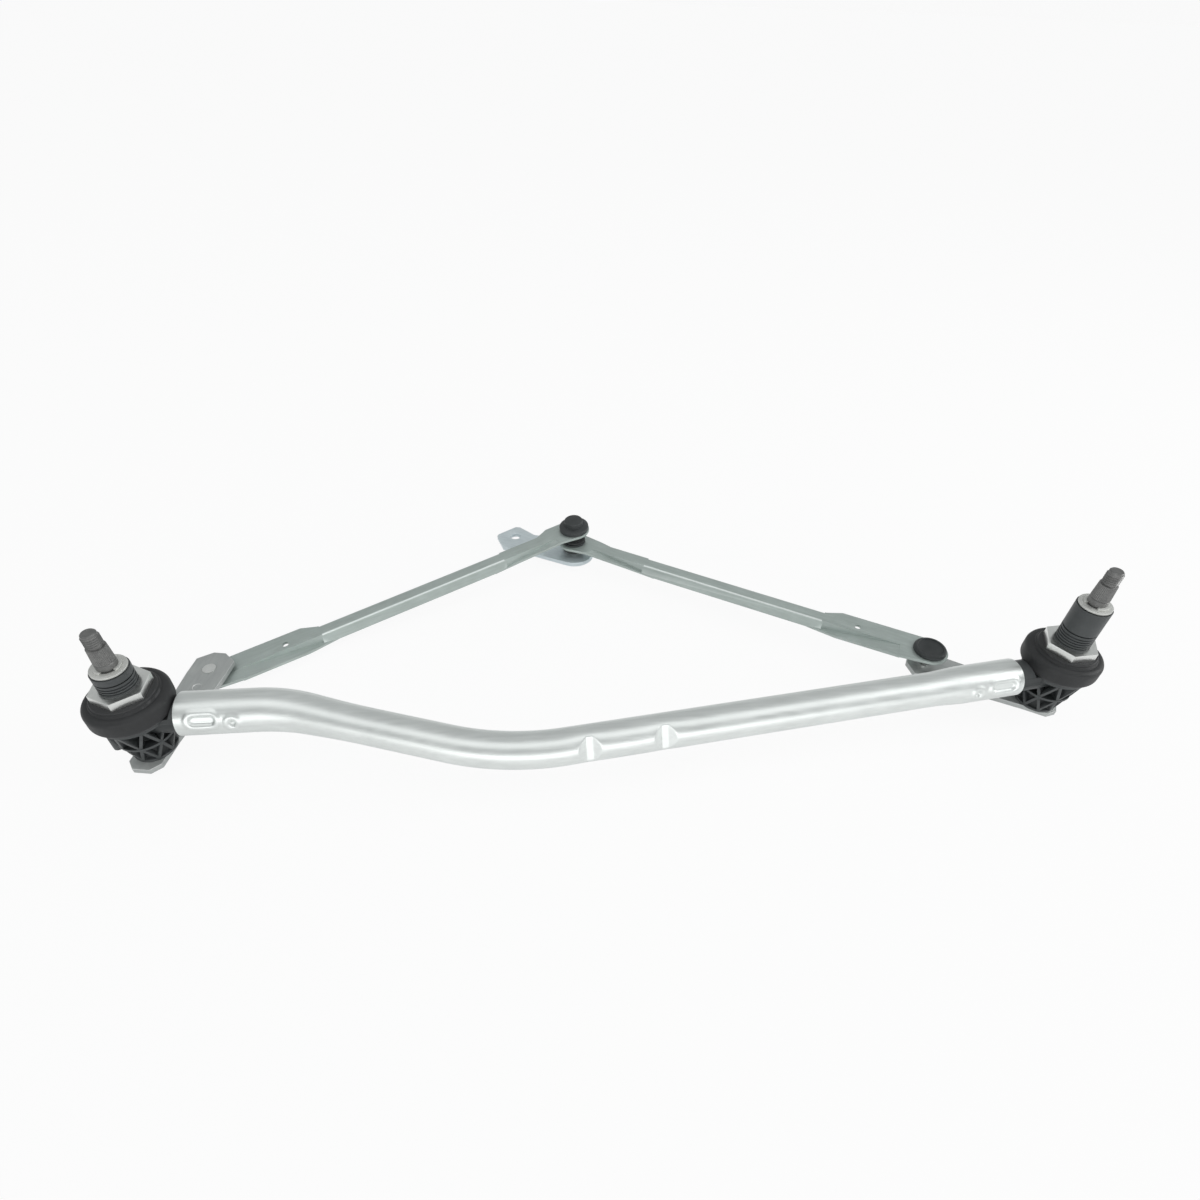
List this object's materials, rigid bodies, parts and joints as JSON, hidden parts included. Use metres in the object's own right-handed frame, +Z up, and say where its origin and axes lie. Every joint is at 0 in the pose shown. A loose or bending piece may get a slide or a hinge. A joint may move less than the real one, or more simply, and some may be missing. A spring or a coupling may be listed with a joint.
{
  "type": "wiper linkage",
  "caption": "Wiper linkage with a bent steel frame tube, upright spindles in ribbed housings, levers, stamped channel links on ball sockets and a loose motor crank.",
  "frame": {"origin": "left spindle's axis at the flat face of its lower end", "axes": "+X runs from the left spindle to the right one, +Z up along the spindles towards the threaded ends, +Y towards the crank"},
  "size_m": [0.6646, 0.3018, 0.1356],
  "materials": {
    "tube_steel": "bright galvanised",
    "plated_steel": "zinc plated, satin",
    "bright_steel": "bright plated",
    "spindle_steel": "phosphated, dark grey",
    "black_plastic": "moulded, matte",
    "rubber": "matte",
    "bronze": "sintered"
  },
  "bodies": {
    "frame": {"frame_tube": "tube_steel", "left_housing": "black_plastic", "right_housing": "black_plastic", "left_disc": "rubber", "right_disc": "rubber", "left_nut": "bright_steel", "right_nut": "bright_steel", "left_bush_low": "bronze", "left_bush_top": "bronze", "right_bush_low": "bronze", "right_bush_top": "bronze"},
    "left_spindle": {"left_shaft": "spindle_steel", "left_washer": "bright_steel", "left_clip": "bright_steel", "left_lever": "plated_steel", "left_ball_stud": "bright_steel"},
    "right_spindle": {"right_shaft": "spindle_steel", "right_washer": "bright_steel", "right_clip": "bright_steel", "right_lever": "plated_steel", "right_ball_stud": "bright_steel"},
    "left_rod": {"left_link": "plated_steel", "left_lever_socket": "black_plastic", "left_pin_socket": "black_plastic"},
    "right_rod": {"right_link": "plated_steel", "right_lever_socket": "black_plastic", "right_pin_ring": "black_plastic"},
    "crank": {"crank_plate": "plated_steel", "crank_pin": "bright_steel", "pin_boot": "rubber"}
  },
  "joints": [
    {"name": "left_wipe", "type": "hinge", "parent": "frame", "child": "left_spindle", "pos_m": [0, 0, 0.0495], "axis": [0, 0, 1], "range_deg": [0, 30]},
    {"name": "right_wipe", "type": "hinge", "parent": "frame", "child": "right_spindle", "pos_m": [0.615, 0, 0.0495], "axis": [0, 0, 1], "range_deg": [0, 20.1]},
    {"name": "left_rod_swing", "type": "hinge", "parent": "left_spindle", "child": "left_rod", "pos_m": [0.01143, 0.06906, -0.0034], "axis": [0, 0, 1], "range_deg": [-37.9, 0]},
    {"name": "right_rod_swing", "type": "hinge", "parent": "right_spindle", "child": "right_rod", "pos_m": [0.54849, 0.04075, 0.0159], "axis": [0, 0, 1], "range_deg": [-16.8, 0]},
    {"name": "crank_turn", "type": "hinge", "parent": "left_rod", "child": "crank", "pos_m": [0.2885, 0.205, 0.0245], "axis": [0, 0, 1], "continuous": true}
  ],
  "couplings": [
    {"joint": "right_wipe", "follows": "left_wipe", "ratio": 0.66667},
    {"joint": "left_rod_swing", "follows": "left_wipe", "ratio": -1.2577},
    {"joint": "right_rod_swing", "follows": "left_wipe", "ratio": -0.5553}
  ]
}
